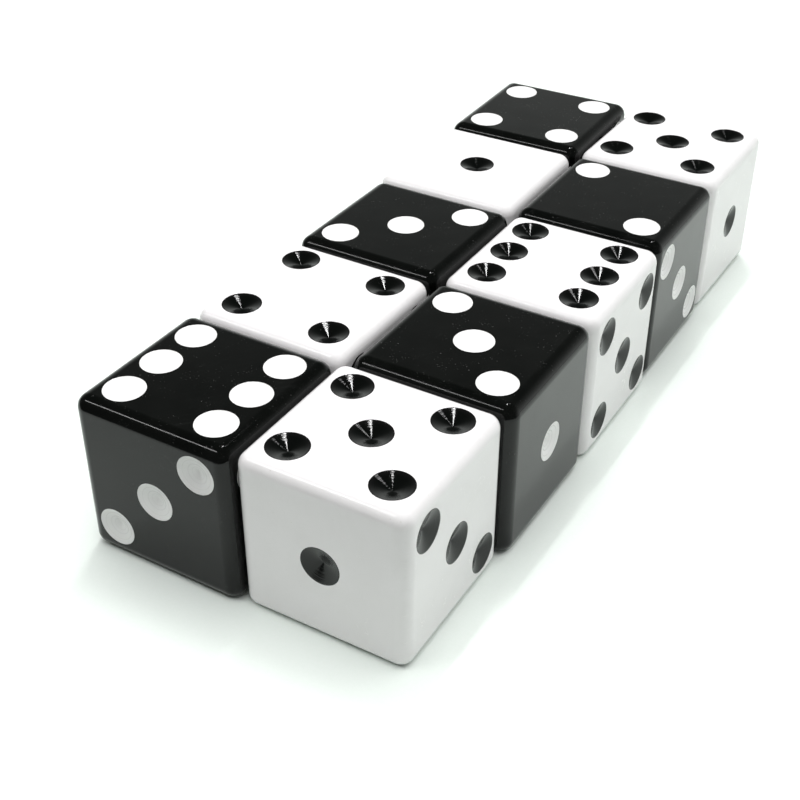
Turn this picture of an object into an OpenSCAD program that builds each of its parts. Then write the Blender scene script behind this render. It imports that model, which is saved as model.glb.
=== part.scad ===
// A set of loose dice: five black with white pips and five white with black pips,
// laid in two columns of five with the colours alternating like a chequerboard.
// Every die is one solid moulding with a shallow cone drilled for each pip, and every
// pip is a thin cup of paint that fills its cone flush with the face.
// Origin: on the ground, under the middle of the block. +Z up, +Y along the columns.

/* [Dice] */
// Length of a die from face to opposite face
die_size = 25; // [25:0.5:40]
// Radius of the rounded edges and corners
edge_r = 2; // [1:0.1:2]

/* [Pips] */
// Distance from the middle of a face to the pips beside it
pip_spacing = 7.5; // [6.5:0.1:7.5]
// Diameter of a pip at the surface of the face
pip_d = 5.9; // [4:0.1:5.9]
// Depth of a pip at its point
pip_depth = 1.05; // [0.6:0.05:1.5]
// Depth of the paint at the point of a pip
paint_depth = 0.1; // [0.05:0.05:0.4]
// Width of the paint's flat rim at the surface
paint_rim = 0.1; // [0.05:0.05:0.3]

/* [Layout] */
// Clear space between the two columns, before the scatter
column_gap = 0.5; // [0.5:0.1:30]
// Clear space between neighbouring rows, before the scatter
row_gap = 0.4; // [0.4:0.1:30]
// How much each die strays from an even grid, as if set down by hand
scatter = 1; // [0:0.1:1]

/* [Hidden] */
$fn = 64;

black_plastic = [0.05, 0.05, 0.06];
white_plastic = [0.95, 0.95, 0.93];
black_paint = [0.07, 0.07, 0.08];
white_paint = [0.92, 0.92, 0.90];

half_size = die_size / 2;
// From the middle of a die to the centre line of a rounded edge
edge_centre = half_size - edge_r;
pip_r = pip_d / 2;
// The drill runs out this far past the face, so that it breaks the surface cleanly
drill_run_out = 0.5;

left = -1;
right = 1;
middle_row = 3;
column_pitch = die_size + column_gap;
row_pitch = die_size + row_gap;

// The way each numbered face points on a die that stands with its 1 up. Opposite faces
// add up to 7, and 1, 2 and 3 run anticlockwise around their shared corner.
up = [0, 0, 1];
east = [1, 0, 0];
north = [0, 1, 0];
face_direction = [undef, up, east, north, -north, -east, -up];

// Where the pips of each face sit, in steps of pip_spacing along the face's own axes
diagonal = [[-1, -1], [1, 1]];
corners = [[-1, -1], [-1, 1], [1, -1], [1, 1]];
centre = [[0, 0]];
sides = [[-1, 0], [1, 0]];
pip_pattern = [
    [],
    centre,
    diagonal,
    concat(centre, diagonal),
    corners,
    concat(centre, corners),
    concat(corners, sides)
];

// The axes of each face's pattern. They set which corners the 2 and the 3 run between,
// and they put the rows of the 6 beside the 2 and the 5.
face_x = [undef, east, up, -east, east, up, east];
face_y = [undef, north, -north, up, up, north, north];

// One line for each die: its column and row, the face that is on top, the face at the
// front, how far it strays to the right and to the back, and its turn in degrees.
black_1 = [left, 1, 6, 3, [-0.4, -0.35], -0.3];
white_1 = [right, 1, 5, 1, [-0.6, 0.35], 0.1];
white_2 = [left, 2, 4, 1, [0.05, -0.5], -0.5];
black_2 = [right, 2, 3, 5, [0.4, 0.3], -0.1];
black_3 = [left, 3, 3, 1, [0.55, -0.45], -0.4];
white_3 = [right, 3, 6, 4, [0.55, 0.25], 0.2];
white_4 = [left, 4, 1, 2, [-0.2, -0.25], 0.3];
black_4 = [right, 4, 2, 6, [0, 0.2], 0.1];
black_5 = [left, 5, 4, 5, [-0.3, -0.05], 1];
white_5 = [right, 5, 5, 4, [-0.05, 0.45], -0.6];

// Sets a die down in its place with the given faces on top and at the front
module place(die) {
    top_way = face_direction[die[2]];
    back_way = -face_direction[die[3]];
    right_way = cross(back_way, top_way);
    stray = scatter * die[4];
    translate([die[0] * column_pitch / 2 + stray.x,
               (die[1] - middle_row) * row_pitch + stray.y,
               half_size])
        rotate([0, 0, scatter * die[5]])
        multmatrix([[right_way.x, right_way.y, right_way.z, 0],
                    [back_way.x, back_way.y, back_way.z, 0],
                    [top_way.x, top_way.y, top_way.z, 0],
                    [0, 0, 0, 1]])
        children();
}

// Repeats a shape at every pip of a die. The shape's +Z points out of the face, and its
// origin is on the face.
module at_pips() {
    for (number = [1 : 6]) {
        out = face_direction[number];
        across = face_x[number];
        along = cross(out, across);
        for (spot = pip_pattern[number]) {
            middle = half_size * out
                + pip_spacing * (spot.x * across + spot.y * face_y[number]);
            multmatrix([[across.x, along.x, out.x, middle.x],
                        [across.y, along.y, out.y, middle.y],
                        [across.z, along.z, out.z, middle.z],
                        [0, 0, 0, 1]])
                children();
        }
    }
}

// A cube with rounded edges and ball corners, centred on the origin
module rounded_cube() {
    slab = 2 * edge_centre;
    for (turn = [[0, 0, 0], [90, 0, 0], [0, 90, 0]])
        rotate(turn) {
            cube([slab, slab, die_size], center = true);
            for (x = [-1, 1], y = [-1, 1])
                translate([x * edge_centre, y * edge_centre, 0])
                cylinder(h = slab, r = edge_r, center = true);
        }
    for (x = [-1, 1], y = [-1, 1], z = [-1, 1])
        translate(edge_centre * [x, y, z]) sphere(r = edge_r);
}

// The cone that a pip is drilled to, run out a little past the face
module pip_drill() {
    run_out_r = pip_r * (1 + drill_run_out / pip_depth);
    translate([0, 0, -pip_depth])
        cylinder(h = pip_depth + drill_run_out, r1 = 0, r2 = run_out_r);
}

// One pip's paint: it lines the drilled cone, deepest at the point, and ends in a narrow
// rim that is flush with the face
module paint_cup() {
    rotate_extrude()
        polygon([[0, -pip_depth], [pip_r, 0], [pip_r - paint_rim, 0],
                 [0, paint_depth - pip_depth]]);
}

module die_body(die) {
    place(die) difference() {
        rounded_cube();
        at_pips() pip_drill();
    }
}

module die_pips(die) {
    place(die) at_pips() paint_cup();
}

module black_die_1_body() { color(black_plastic) die_body(black_1); }
module black_die_1_pips() { color(white_paint) die_pips(black_1); }
module white_die_1_body() { color(white_plastic) die_body(white_1); }
module white_die_1_pips() { color(black_paint) die_pips(white_1); }
module black_die_2_body() { color(black_plastic) die_body(black_2); }
module black_die_2_pips() { color(white_paint) die_pips(black_2); }
module white_die_2_body() { color(white_plastic) die_body(white_2); }
module white_die_2_pips() { color(black_paint) die_pips(white_2); }
module black_die_3_body() { color(black_plastic) die_body(black_3); }
module black_die_3_pips() { color(white_paint) die_pips(black_3); }
module white_die_3_body() { color(white_plastic) die_body(white_3); }
module white_die_3_pips() { color(black_paint) die_pips(white_3); }
module black_die_4_body() { color(black_plastic) die_body(black_4); }
module black_die_4_pips() { color(white_paint) die_pips(black_4); }
module white_die_4_body() { color(white_plastic) die_body(white_4); }
module white_die_4_pips() { color(black_paint) die_pips(white_4); }
module black_die_5_body() { color(black_plastic) die_body(black_5); }
module black_die_5_pips() { color(white_paint) die_pips(black_5); }
module white_die_5_body() { color(white_plastic) die_body(white_5); }
module white_die_5_pips() { color(black_paint) die_pips(white_5); }

black_die_1_body();
black_die_1_pips();
white_die_1_body();
white_die_1_pips();
black_die_2_body();
black_die_2_pips();
white_die_2_body();
white_die_2_pips();
black_die_3_body();
black_die_3_pips();
white_die_3_body();
white_die_3_pips();
black_die_4_body();
black_die_4_pips();
white_die_4_body();
white_die_4_pips();
black_die_5_body();
black_die_5_pips();
white_die_5_body();
white_die_5_pips();
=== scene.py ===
"""Looks for a set of ten loose dice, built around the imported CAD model. Lengths are in
metres, except where a comment says millimetres."""

import math

import bpy
from mathutils import Matrix, Vector
from mathutils.geometry import delaunay_2d_cdt


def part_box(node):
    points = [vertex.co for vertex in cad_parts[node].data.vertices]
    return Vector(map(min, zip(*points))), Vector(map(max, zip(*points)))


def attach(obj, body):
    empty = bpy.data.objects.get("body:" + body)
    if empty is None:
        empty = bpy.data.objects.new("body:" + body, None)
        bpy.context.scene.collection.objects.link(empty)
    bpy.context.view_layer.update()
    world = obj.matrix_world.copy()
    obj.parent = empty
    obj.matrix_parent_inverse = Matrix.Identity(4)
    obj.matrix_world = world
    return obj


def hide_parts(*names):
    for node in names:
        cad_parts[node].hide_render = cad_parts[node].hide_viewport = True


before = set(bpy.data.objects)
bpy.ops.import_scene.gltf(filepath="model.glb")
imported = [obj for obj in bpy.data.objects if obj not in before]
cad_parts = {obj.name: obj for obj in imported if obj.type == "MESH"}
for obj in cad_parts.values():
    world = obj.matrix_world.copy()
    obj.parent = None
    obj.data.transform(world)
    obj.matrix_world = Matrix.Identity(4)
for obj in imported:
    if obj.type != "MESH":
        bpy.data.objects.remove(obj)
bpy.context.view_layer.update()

MM = 0.001

# ---------------------------------------------------------------- the dice's sizes
DIE_SIZE = 25.0 * MM
HALF = DIE_SIZE / 2
EDGE_R = 2.0 * MM
EDGE_CENTRE = HALF - EDGE_R
PIP_SPACING = 7.5 * MM
PIP_R = 2.95 * MM
PIP_DEPTH = 1.05 * MM
PAINT_DEPTH = 0.1 * MM
LIP_R = 0.12 * MM

ARC_STEPS = 6             # steps in each half of a rounded edge
FLAT_STEPS = 10           # steps along the flat of a face
PIP_SEGMENTS = 64
LIP_STEPS = 3
TIP_STEPS = 3
HOLE_CLEARANCE = 1.12     # grid points stay this many hole radii from a pip
MERGE_SCALE = 1e7         # points that round alike at this scale are one point

UP, EAST, NORTH = Vector((0, 0, 1)), Vector((1, 0, 0)), Vector((0, 1, 0))

# The way each numbered face points on a die that stands with its 1 up, and the axes of
# its pattern, as in the CAD source.
FACES = {
    1: (UP, EAST, NORTH),
    2: (EAST, UP, -NORTH),
    3: (NORTH, -EAST, UP),
    4: (-NORTH, EAST, UP),
    5: (-EAST, UP, NORTH),
    6: (-UP, EAST, NORTH),
}
DIAGONAL = [(-1, -1), (1, 1)]
CORNERS = [(-1, -1), (-1, 1), (1, -1), (1, 1)]
CENTRE = [(0, 0)]
SIDES = [(-1, 0), (1, 0)]
PATTERN = {
    1: CENTRE,
    2: DIAGONAL,
    3: CENTRE + DIAGONAL,
    4: CORNERS,
    5: CENTRE + CORNERS,
    6: CORNERS + SIDES,
}

# The face on top and the face at the front of each die
LIES = {
    "black_die_1": (6, 3),
    "white_die_1": (5, 1),
    "white_die_2": (4, 1),
    "black_die_2": (3, 5),
    "black_die_3": (3, 1),
    "white_die_3": (6, 4),
    "white_die_4": (1, 2),
    "black_die_4": (2, 6),
    "black_die_5": (4, 5),
    "white_die_5": (5, 4),
}


def turn_of(node):
    """How far a die is turned about the vertical, from its flat face that looks along +X."""
    total = Vector((0, 0, 0))
    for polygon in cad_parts[node].data.polygons:
        if polygon.normal.x > 0.999:
            total += polygon.normal * polygon.area
    return math.atan2(total.y, total.x)


def place_of(name):
    """The matrix that sets a die, made with its 1 up, down where its CAD body lies."""
    low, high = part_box(name + "_body")
    top, front = LIES[name]
    top_way = FACES[top][0]
    back_way = -FACES[front][0]
    lie = Matrix((back_way.cross(top_way), back_way, top_way)).to_4x4()
    turn = Matrix.Rotation(turn_of(name + "_body"), 4, "Z")
    return Matrix.Translation((low + high) / 2) @ turn @ lie


# ---------------------------------------------------------------- the moulded bodies
PIP_SLOPE = math.atan2(PIP_DEPTH, PIP_R)
LIP_START = PIP_R + LIP_R * math.tan(PIP_SLOPE / 2)


def pip_spots(number):
    """The middles of a face's pips, on the face."""
    out, x_way, y_way = FACES[number]
    return [out * HALF + PIP_SPACING * (x * x_way + y * y_way) for x, y in PATTERN[number]]


def lip_profile():
    """The rounded lip of a recess, from the face in to the cone: (radius, depth, angle of
    the normal)."""
    rows = []
    for step in range(LIP_STEPS + 1):
        angle = PIP_SLOPE * step / LIP_STEPS
        rows.append((LIP_START - LIP_R * math.sin(angle), LIP_R * (1 - math.cos(angle)), angle))
    return rows


def grid_marks():
    """Coordinates of the grid lines across one side of the rounded cube. Those in the
    rounding are spaced so that the edge is cut into equal angles."""
    rounding = [EDGE_CENTRE + EDGE_R * math.tan(math.radians(45) * step / ARC_STEPS)
                for step in range(1, ARC_STEPS + 1)]
    flat = [EDGE_CENTRE * (2 * step / FLAT_STEPS - 1) for step in range(FLAT_STEPS + 1)]
    return [-mark for mark in reversed(rounding)] + flat + rounding


def on_cube(point):
    """The surface of the rounded cube under a point of the sharp one, its normal, and its
    wear, which grows from 0 on the flats to 1 at the corners."""
    core = Vector([max(-EDGE_CENTRE, min(EDGE_CENTRE, c)) for c in point])
    normal = (point - core).normalized()
    wear = (1 - max(abs(c) for c in normal)) / (1 - math.sqrt(1 / 3))
    return core + normal * EDGE_R, normal, wear


class Shell:
    """Collects points, each with its normal and a mark that its material reads, and the
    faces between them."""

    def __init__(self, mark_name):
        self.mark_name = mark_name
        self.points, self.normals, self.marks, self.faces, self.known = [], [], [], [], {}

    def point(self, co, normal, mark):
        key = tuple(round(c * MERGE_SCALE) for c in co)
        if key not in self.known:
            self.known[key] = len(self.points)
            self.points.append(co)
            self.normals.append(normal)
            self.marks.append(mark)
        return self.known[key]

    def face(self, *corners):
        self.faces.append(corners)

    def mesh(self, name, place):
        data = bpy.data.meshes.new(name)
        data.from_pydata([place @ p for p in self.points], [], self.faces)
        data.attributes.new(self.mark_name, "FLOAT", "POINT").data.foreach_set(
            "value", self.marks)
        data.validate()
        data.shade_smooth()
        turn = place.to_3x3()
        data.normals_split_custom_set_from_vertices([turn @ n for n in self.normals])
        return data


def add_rounding(shell, out, across, along):
    """The part of one side of the cube that lies outside its flat."""
    marks = grid_marks()
    inner = range(ARC_STEPS, ARC_STEPS + FLAT_STEPS)
    index = {}
    for i, u in enumerate(marks):
        for j, v in enumerate(marks):
            index[i, j] = shell.point(*on_cube(out * HALF + across * u + along * v))
    for i in range(len(marks) - 1):
        for j in range(len(marks) - 1):
            if not (i in inner and j in inner):
                shell.face(index[i, j], index[i + 1, j], index[i + 1, j + 1], index[i, j + 1])


def add_flat(shell, out, across, along, spots):
    """The flat of one side, with a round hole at each pip."""
    marks = [m for m in grid_marks() if abs(m) <= EDGE_CENTRE * 1.0001]
    middles = [(spot.dot(across), spot.dot(along)) for spot in spots]
    last = len(marks) - 1

    def clear(u, v):
        return all(math.hypot(u - a, v - b) > LIP_START * HOLE_CLEARANCE for a, b in middles)

    flat = [Vector((u, v)) for i, u in enumerate(marks) for j, v in enumerate(marks)
            if i in (0, last) or j in (0, last) or clear(u, v)]
    border = []
    for a, b in middles:
        first = len(flat)
        for step in range(PIP_SEGMENTS):
            angle = 2 * math.pi * step / PIP_SEGMENTS
            flat.append(Vector((a + LIP_START * math.cos(angle), b + LIP_START * math.sin(angle))))
            border.append((first + step, first + (step + 1) % PIP_SEGMENTS))
    made, _, triangles, *_ = delaunay_2d_cdt(flat, border, [], 0, 1e-9)
    index = [shell.point(out * HALF + across * p.x + along * p.y, out, 0.0) for p in made]
    for corners in triangles:
        middle = sum((made[c] for c in corners), Vector((0, 0))) / 3
        if all(math.hypot(middle.x - a, middle.y - b) > LIP_START for a, b in middles):
            shell.face(*(index[c] for c in corners))


def add_recess(shell, out, across, along, spot):
    """One drilled pip: a rounded lip, then a cone."""
    rings = []
    for radius, depth, angle in lip_profile():
        ring = []
        for step in range(PIP_SEGMENTS):
            turn = 2 * math.pi * step / PIP_SEGMENTS
            way = across * math.cos(turn) + along * math.sin(turn)
            normal = out * math.cos(angle) - way * math.sin(angle)
            ring.append(shell.point(spot + way * radius - out * depth, normal, 0.5))
        rings.append(ring)
    radius, depth, _ = lip_profile()[-1]
    tip = shell.point(spot - out * (depth + radius * math.tan(PIP_SLOPE)), out, 0.0)
    for outer, inner in zip(rings, rings[1:]):
        for step in range(PIP_SEGMENTS):
            after = (step + 1) % PIP_SEGMENTS
            shell.face(outer[step], outer[after], inner[after], inner[step])
    for step in range(PIP_SEGMENTS):
        shell.face(rings[-1][step], rings[-1][(step + 1) % PIP_SEGMENTS], tip)


def body_shell():
    shell = Shell("wear")
    for number, (out, across, _) in FACES.items():
        along = out.cross(across)
        spots = pip_spots(number)
        add_rounding(shell, out, across, along)
        add_flat(shell, out, across, along, spots)
        for spot in spots:
            add_recess(shell, out, across, along, spot)
    return shell


# ---------------------------------------------------------------- the paint in the pips
PAINT_SINK = 0.004 * MM     # how far the back of the paint sinks into the plastic
TIP_R = 0.25 * MM           # rounding of the pool of paint at the point
RIM_INSET = 0.03 * MM       # from the edge of the drilled pip in to the paint's rim
RIM_WIDTH = 0.05 * MM
RIM_DROP = 0.012 * MM       # how far the rim lies below the face
BACK_INSET = 0.01 * MM      # from the rim in to the edge of the paint's back
RIM_ANGLE = -0.5            # the rim rolls over, so its normal leans outwards


def paint_profile():
    """Half the section of one cup of paint: (radius, height, angle of the normal), from
    the middle of its shown surface out to its rim and back under to the middle."""
    rim_r = PIP_R - RIM_INSET
    top_r = rim_r - RIM_WIDTH
    slope = math.atan2(PIP_DEPTH - PAINT_DEPTH, top_r)
    rows = []
    tip_height = PAINT_DEPTH - PIP_DEPTH
    lift = TIP_R * (1 / math.cos(slope) - 1)
    for step in range(TIP_STEPS + 1):
        angle = slope * step / TIP_STEPS
        rows.append((TIP_R * math.sin(angle),
                     tip_height + lift + TIP_R * (1 - math.cos(angle)), angle))
    for share in (0.25, 0.5, 0.75, 0.96):
        radius = TIP_R * math.sin(slope) + share * (top_r - TIP_R * math.sin(slope))
        rows.append((radius, tip_height + radius * math.tan(slope), slope))
    rows.append((rim_r, -RIM_DROP, RIM_ANGLE))
    under = math.tan(PIP_SLOPE)
    back_r = rim_r - BACK_INSET
    rows.append((back_r, (back_r - PIP_R) * under - PAINT_SINK, math.pi))
    rows.append((0.0, -PIP_R * under - PAINT_SINK, math.pi))
    return rows


def paint_shell():
    shell = Shell("pip_radius")
    rows = paint_profile()
    for number, (out, across, _) in FACES.items():
        along = out.cross(across)
        for spot in pip_spots(number):
            rings = []
            for radius, height, angle in rows:
                steps = PIP_SEGMENTS if radius > 0 else 1
                ring = []
                for step in range(steps):
                    turn = 2 * math.pi * step / PIP_SEGMENTS
                    way = across * math.cos(turn) + along * math.sin(turn)
                    normal = (out * math.cos(angle) - way * math.sin(angle)).normalized()
                    ring.append(shell.point(spot + way * radius + out * height, normal,
                                            radius / PIP_R))
                rings.append(ring)
            for inner, outer in zip(rings, rings[1:]):
                for step in range(PIP_SEGMENTS):
                    after = (step + 1) % PIP_SEGMENTS
                    if len(inner) == 1:
                        shell.face(inner[0], outer[step], outer[after])
                    elif len(outer) == 1:
                        shell.face(inner[after], inner[step], outer[0])
                    else:
                        shell.face(inner[step], outer[step], outer[after], inner[after])
    return shell


# ---------------------------------------------------------------- materials
class Graph:
    """A material's node tree, with short ways to add the nodes that the surfaces share.
    Lengths given to it are in millimetres, and turns in degrees."""

    def __init__(self, name):
        self.material = bpy.data.materials.new(name)
        self.material.use_nodes = True
        self.nodes = self.material.node_tree.nodes
        self.links = self.material.node_tree.links
        self.nodes.clear()
        output = self.nodes.new("ShaderNodeOutputMaterial")
        self.shader = self.nodes.new("ShaderNodeBsdfPrincipled")
        self.links.new(self.shader.outputs["BSDF"], output.inputs["Surface"])
        self.place = self.nodes.new("ShaderNodeTexCoord").outputs["Object"]

    def set(self, socket, value):
        """Puts a number, a colour or another node's output on a socket."""
        if isinstance(value, bpy.types.NodeSocket):
            self.links.new(value, socket)
        else:
            socket.default_value = value

    def mark(self, name):
        """A mark that the mesh carries at its points."""
        attribute = self.nodes.new("ShaderNodeAttribute")
        attribute.attribute_name = name
        return attribute.outputs["Fac"]

    def noise(self, size, detail=2.0, stretch=(1, 1, 1), turn=(0, 0, 0), shift=0.0):
        """Noise with features of a given size, drawn out along the axes of a turned frame."""
        mapping = self.nodes.new("ShaderNodeMapping")
        mapping.vector_type = "TEXTURE"
        mapping.inputs["Location"].default_value = [shift * MM] * 3
        mapping.inputs["Rotation"].default_value = [math.radians(a) for a in turn]
        mapping.inputs["Scale"].default_value = [size * MM * s for s in stretch]
        self.links.new(self.place, mapping.inputs["Vector"])
        noise = self.nodes.new("ShaderNodeTexNoise")
        noise.inputs["Scale"].default_value = 1.0
        noise.inputs["Detail"].default_value = detail
        self.links.new(mapping.outputs["Vector"], noise.inputs["Vector"])
        return noise.outputs["Fac"]

    def rings(self, mark, count, detail=3.0):
        """Noise that varies only along a mark: turning marks when the mark is a radius."""
        noise = self.nodes.new("ShaderNodeTexNoise")
        noise.noise_dimensions = "1D"
        noise.inputs["Scale"].default_value = count
        noise.inputs["Detail"].default_value = detail
        self.links.new(mark, noise.inputs["W"])
        return noise.outputs["Fac"]

    def spread(self, value, low, high, to_low=0.0, to_high=1.0):
        """Takes a value's range low to high onto another range, smoothly, and clamps it."""
        ranger = self.nodes.new("ShaderNodeMapRange")
        ranger.interpolation_type = "SMOOTHSTEP"
        self.set(ranger.inputs["Value"], value)
        for socket, number in zip(("From Min", "From Max", "To Min", "To Max"),
                                  (low, high, to_low, to_high)):
            ranger.inputs[socket].default_value = number
        return ranger.outputs["Result"]

    def maths(self, operation, first, second=0.0):
        node = self.nodes.new("ShaderNodeMath")
        node.operation = operation
        self.set(node.inputs[0], first)
        self.set(node.inputs[1], second)
        return node.outputs["Value"]

    def total(self, *values):
        result = values[0]
        for value in values[1:]:
            result = self.maths("ADD", result, value)
        return result

    def blend(self, share, first, second):
        """Mixes two colours."""
        mix = self.nodes.new("ShaderNodeMix")
        mix.data_type = "RGBA"
        self.set(mix.inputs["Factor"], share)
        self.set(mix.inputs["A"], first)
        self.set(mix.inputs["B"], second)
        return mix.outputs["Result"]

    def scratches(self, size, turn, width, cover):
        """Fine lines along one direction: the contour of a drawn-out noise, broken up."""
        drawn = self.noise(size, 1.0, (1, 22, 1), turn)
        line = self.spread(self.maths("ABSOLUTE", self.maths("SUBTRACT", drawn, 0.5)),
                           0.0, width, 1.0, 0.0)
        broken = self.spread(self.noise(size * 3.0, 1.0, turn=turn, shift=370.0),
                             cover, cover + 0.08)
        return self.maths("MULTIPLY", line, broken)

    def all_scratches(self):
        """Handling scratches that cross in several directions on every face."""
        turns = ((20, 35, 10), (75, -20, 50), (-40, 60, 95), (10, 100, -35))
        lines = [self.scratches(size=1.6 + 0.35 * i, turn=turn, width=0.007, cover=0.53)
                 for i, turn in enumerate(turns)]
        return self.total(*lines)

    def bump(self, height, depth):
        """Bends the surface by a height map; the depth is in millimetres."""
        bump = self.nodes.new("ShaderNodeBump")
        bump.inputs["Strength"].default_value = 1.0
        bump.inputs["Distance"].default_value = depth * MM
        self.links.new(height, bump.inputs["Height"])
        self.links.new(bump.outputs["Normal"], self.shader.inputs["Normal"])


def plastic(name, colour, dusty, scuffed, roughness, ior, dust_cover):
    """Polished moulded plastic: faintly wavy, with an uneven polish, fine scratches, edges
    rubbed by handling and a little dust."""
    g = Graph(name)
    wear = g.mark("wear")
    scratch = g.all_scratches()
    blotch = g.noise(5.0, 3.0)
    grain = g.noise(0.18, 2.0)
    rub = g.maths("MULTIPLY", g.spread(wear, 0.15, 0.9), g.spread(g.noise(0.9, 4.0), 0.42, 0.7))
    dust = g.maths("MULTIPLY", g.spread(g.noise(0.22, 1.0), dust_cover, dust_cover + 0.05),
                   g.spread(g.noise(3.0, 2.0), 0.45, 0.62))
    base = g.blend(g.spread(blotch, 0.3, 0.7, 0.0, 0.35), (*colour, 1), (*scuffed, 1))
    base = g.blend(g.maths("MULTIPLY", scratch, 0.25), base, (*scuffed, 1))
    base = g.blend(g.maths("MULTIPLY", rub, 0.5), base, (*scuffed, 1))
    g.set(g.shader.inputs["Base Color"], g.blend(dust, base, (*dusty, 1)))
    g.set(g.shader.inputs["Roughness"],
          g.total(g.spread(blotch, 0.25, 0.75, roughness * 0.8, roughness * 1.35),
                  g.maths("MULTIPLY", g.total(scratch, rub, g.maths("MULTIPLY", dust, 3.0)), 0.12)))
    g.shader.inputs["IOR"].default_value = ior
    g.bump(g.total(g.noise(7.0, 1.0), g.maths("MULTIPLY", scratch, -0.06),
                   g.maths("MULTIPLY", grain, 0.05), g.maths("MULTIPLY", dust, 0.2),
                   g.maths("MULTIPLY", rub, -0.08)), 0.02)
    return g.material


def paint(name, colour, worn, roughness, ior, ring_depth):
    """Enamel in a drilled cone: it follows the drill's rings, and its shade shifts slightly
    towards its rim."""
    g = Graph(name)
    radius = g.mark("pip_radius")
    rings = g.rings(radius, 11.0)
    fine = g.rings(radius, 42.0, 1.0)
    ripple = g.noise(0.8, 2.0)
    g.set(g.shader.inputs["Base Color"],
          g.blend(g.spread(radius, 0.7, 1.0), (*colour, 1), (*worn, 1)))
    g.set(g.shader.inputs["Roughness"],
          g.spread(rings, 0.3, 0.7, roughness * 0.96, roughness * 1.04))
    g.shader.inputs["IOR"].default_value = ior
    g.bump(g.total(rings, g.maths("MULTIPLY", fine, 0.12), g.maths("MULTIPLY", ripple, 0.35)),
           ring_depth)
    return g.material


MATERIALS = {
    "black_plastic": plastic("black_plastic", colour=(0.0017, 0.0021, 0.0018),
                             dusty=(0.05, 0.05, 0.048), scuffed=(0.0045, 0.005, 0.0045),
                             roughness=0.09, ior=1.34, dust_cover=0.71),
    "white_plastic": plastic("white_plastic", colour=(0.79, 0.775, 0.78),
                             dusty=(0.55, 0.54, 0.5), scuffed=(0.73, 0.72, 0.715),
                             roughness=0.14, ior=1.5, dust_cover=0.74),
    "black_paint": paint("black_paint", colour=(0.002, 0.0025, 0.0022),
                         worn=(0.005, 0.005, 0.005), roughness=0.06, ior=1.36,
                         ring_depth=0.009),
    "white_paint": paint("white_paint", colour=(0.74, 0.735, 0.73),
                         worn=(0.735, 0.73, 0.722), roughness=0.28, ior=1.45,
                         ring_depth=0.001),
}


# ---------------------------------------------------------------- the dice
def add_piece(name, shell, place, slot, body, node):
    """Makes one piece from its shell, in place of a CAD node and moving with its body."""
    data = shell.mesh(name, place)
    data.materials.append(MATERIALS[slot])
    piece = bpy.data.objects.new(name, data)
    bpy.context.scene.collection.objects.link(piece)
    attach(piece, body)
    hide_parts(node)
    return piece


body_form = body_shell()
paint_form = paint_shell()
for die_name in LIES:
    colour = die_name.split("_")[0]
    other = "white" if colour == "black" else "black"
    place = place_of(die_name)
    add_piece(die_name + "_moulding", body_form, place, colour + "_plastic",
              die_name, die_name + "_body")
    add_piece(die_name + "_paint", paint_form, place, other + "_paint",
              die_name, die_name + "_pips")


# ---------------------------------------------------------------- floor, light and camera
def make_floor():
    """A sheet of pale paper. Past its right and front edges the room is darker, which
    shows in the sides of the dice; both edges are outside the camera's view."""
    data = bpy.data.meshes.new("floor")
    left, right, front, back = -0.45, 0.125, -0.112, 0.45
    data.from_pydata([(left, front, 0), (right, front, 0), (right, back, 0), (left, back, 0)],
                     [], [(0, 1, 2, 3)])
    floor = bpy.data.objects.new("floor", data)
    bpy.context.scene.collection.objects.link(floor)
    g = Graph("paper")
    fibre = g.noise(0.5, 4.0)
    g.set(g.shader.inputs["Base Color"],
          g.blend(g.spread(fibre, 0.3, 0.7), (0.815, 0.875, 0.83, 1), (0.83, 0.885, 0.845, 1)))
    g.shader.inputs["Roughness"].default_value = 0.6
    g.bump(fibre, 0.01)
    data.materials.append(g.material)


def make_lamp(name, place, long_way, length, width, power, mirrored=True):
    """A lamp that faces the dice. Its place and size are given in millimetres, and its long
    side runs as near as it can along the given way. One that isn't mirrored lights the dice
    without showing in their polish."""
    towards = Vector(place).normalized()
    long_side = (Vector(long_way) - towards * towards.dot(Vector(long_way))).normalized()
    data = bpy.data.lights.new(name, "AREA")
    data.shape = "RECTANGLE"
    data.size = length * MM
    data.size_y = width * MM
    data.energy = power
    lamp = bpy.data.objects.new(name, data)
    turn = Matrix((long_side, towards.cross(long_side), towards)).transposed()
    lamp.matrix_world = Matrix.Translation(Vector(place) * MM) @ turn.to_4x4()
    lamp.visible_glossy = mirrored
    bpy.context.scene.collection.objects.link(lamp)


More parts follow.
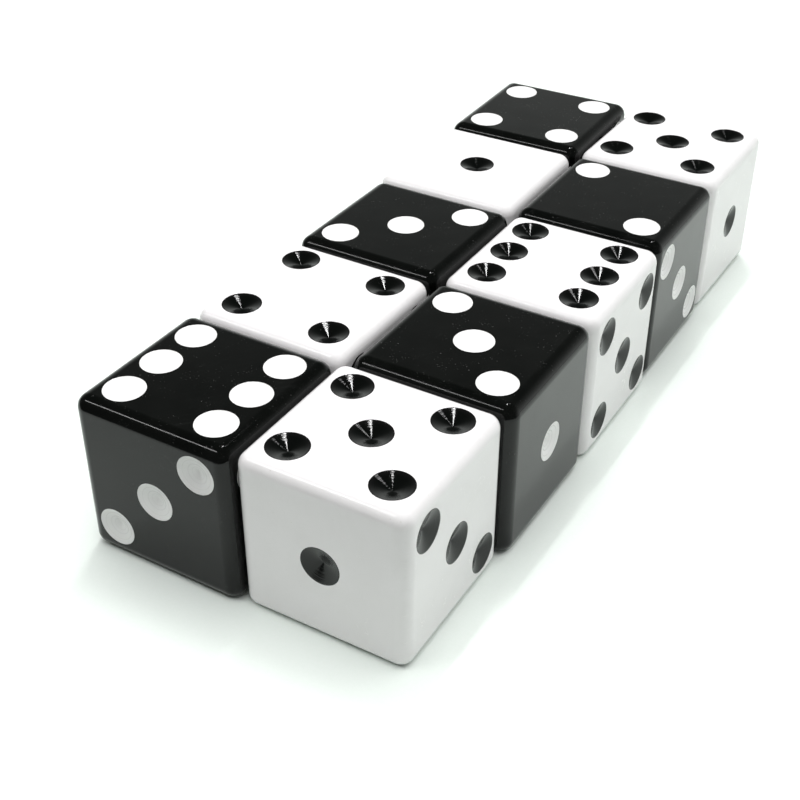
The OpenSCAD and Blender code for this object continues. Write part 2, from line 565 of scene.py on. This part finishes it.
def make_world():
    """A pale sweep low behind the dice. Above it and towards the front the room is dark,
    down to where the pale table comes into sight again."""
    world = bpy.data.worlds.new("studio")
    bpy.context.scene.world = world
    world.use_nodes = True
    nodes, links = world.node_tree.nodes, world.node_tree.links
    nodes.clear()
    output = nodes.new("ShaderNodeOutputWorld")
    background = nodes.new("ShaderNodeBackground")
    place = nodes.new("ShaderNodeTexCoord")
    split = nodes.new("ShaderNodeSeparateXYZ")
    links.new(place.outputs["Generated"], split.inputs["Vector"])
    links.new(background.outputs["Background"], output.inputs["Surface"])

    def share(socket, low, high):
        ranger = nodes.new("ShaderNodeMapRange")
        ranger.inputs["From Min"].default_value = low
        ranger.inputs["From Max"].default_value = high
        links.new(socket, ranger.inputs["Value"])
        return ranger.outputs["Result"]

    def rise(stops):
        """Brightness by height, from straight down to straight up."""
        ramp = nodes.new("ShaderNodeValToRGB")
        links.new(share(split.outputs["Z"], -1.0, 1.0), ramp.inputs["Fac"])
        elements = ramp.color_ramp.elements
        elements.remove(elements[0])
        elements[0].position = 1.0
        elements[0].color = (0.03, 0.03, 0.03, 1)
        for height, level in stops:
            elements.new((height + 1) / 2).color = (level, level * 1.04, level * 1.01, 1)
        return ramp.outputs["Color"]

    mix = nodes.new("ShaderNodeMix")
    mix.data_type = "RGBA"
    links.new(share(split.outputs["Y"], 0.0, 0.5), mix.inputs["Factor"])
    links.new(rise(((-0.45, 0.95), (-0.30, 0.10), (0.5, 0.08))), mix.inputs["A"])
    links.new(rise(((0.0, 1.0), (0.39, 0.34), (0.59, 0.10), (0.8, 0.03))), mix.inputs["B"])
    links.new(mix.outputs["Result"], background.inputs["Color"])


def make_camera():
    data = bpy.data.cameras.new("camera")
    data.sensor_width = 36.0
    data.lens = 59.42
    camera = bpy.data.objects.new("camera", data)
    camera.location = Vector((82.26, -162.30, 123.21)) * MM
    aim = Vector((-6.43, -11.98, 0.0)) * MM
    roll = math.radians(0.085)
    turn = (aim - camera.location).to_track_quat("-Z", "Y")
    camera.rotation_mode = "QUATERNION"
    camera.rotation_quaternion = turn @ Matrix.Rotation(roll, 3, "Z").to_quaternion()
    data.clip_start, data.clip_end = 0.01, 20
    bpy.context.scene.collection.objects.link(camera)
    bpy.context.scene.camera = camera


make_floor()
make_world()
make_lamp("ceiling_strip", (-150, 310, 1000), NORTH, 250, 34, 2.2)
make_lamp("ceiling_lamp", (45, 600, 1000), NORTH, 110, 45, 0.24)
make_lamp("window", (-640, -650, 1000), EAST, 550, 50, 2.2)
make_lamp("soft", (40, 5, 560), EAST, 700, 750, 5.65, mirrored=False)
make_camera()

bpy.context.scene.view_settings.view_transform = "Standard"
